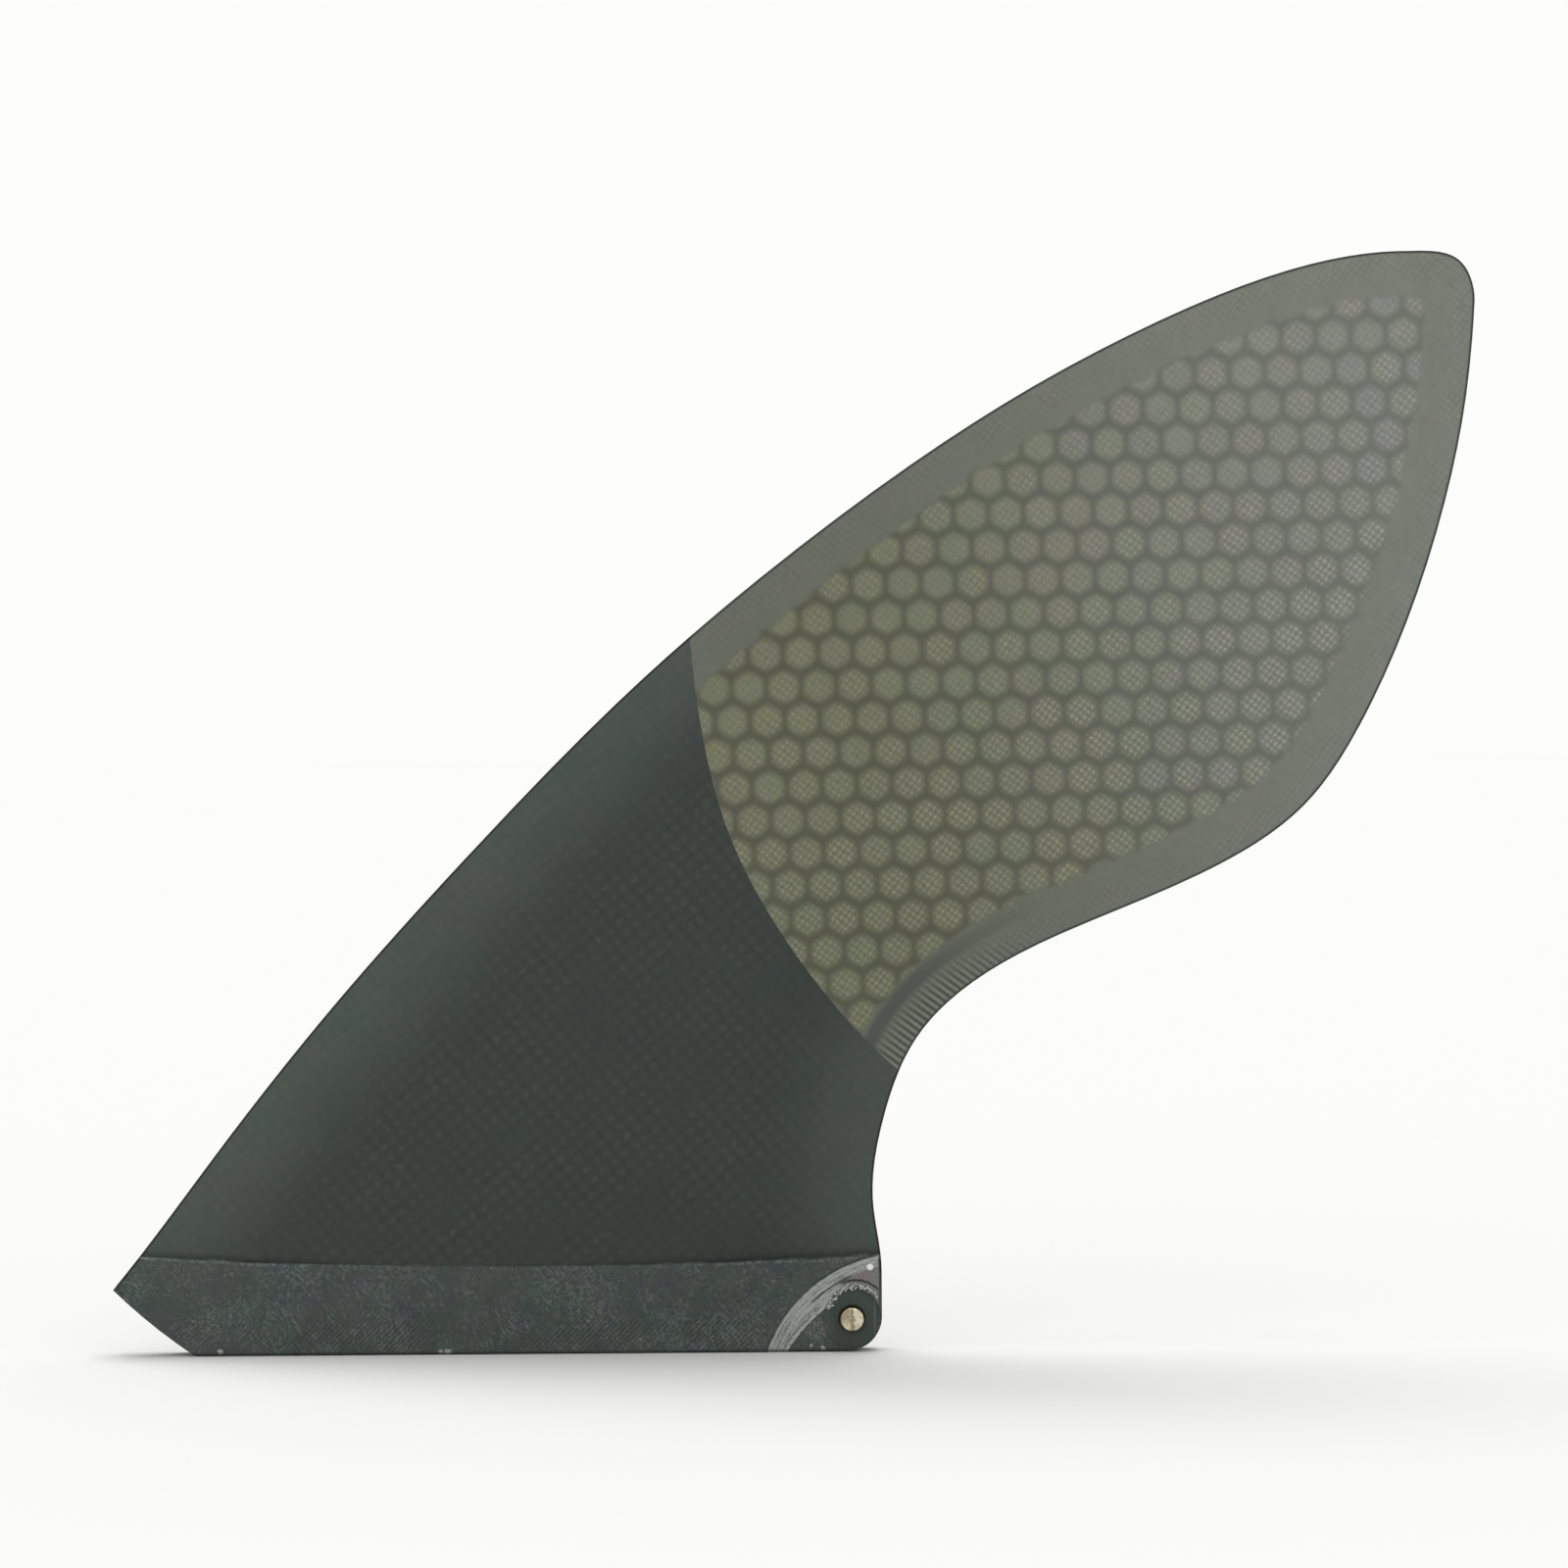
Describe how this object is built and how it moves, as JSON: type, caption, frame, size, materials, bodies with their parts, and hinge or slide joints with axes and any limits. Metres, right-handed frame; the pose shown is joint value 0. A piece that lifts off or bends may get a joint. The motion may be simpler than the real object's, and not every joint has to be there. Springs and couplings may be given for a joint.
{
  "type": "surfboard fin",
  "caption": "Raked longboard centre fin: dark laminate root with a box tab and a brass cross pin, and a translucent glass blade over a honeycomb sheet.",
  "frame": {"origin": "middle of the box tab's flat foot, on the plane of symmetry", "axes": "+X aft, towards the overhanging tip; +Y across the blade; +Z from the tab's foot towards the tip. The fin stands on its tab, upside down to its place under a board"},
  "size_m": [0.3411, 0.0136, 0.2732],
  "materials": {
    "dark_laminate": "satin",
    "glass_laminate": "gloss",
    "core_sheet": "matt",
    "brass_pin": "worn"
  },
  "bodies": {
    "root": {"root_blade": "dark_laminate", "glass_skin_left": "glass_laminate", "glass_skin_right": "glass_laminate", "honeycomb_core": "core_sheet", "cross_pin": "brass_pin"}
  },
  "joints": []
}
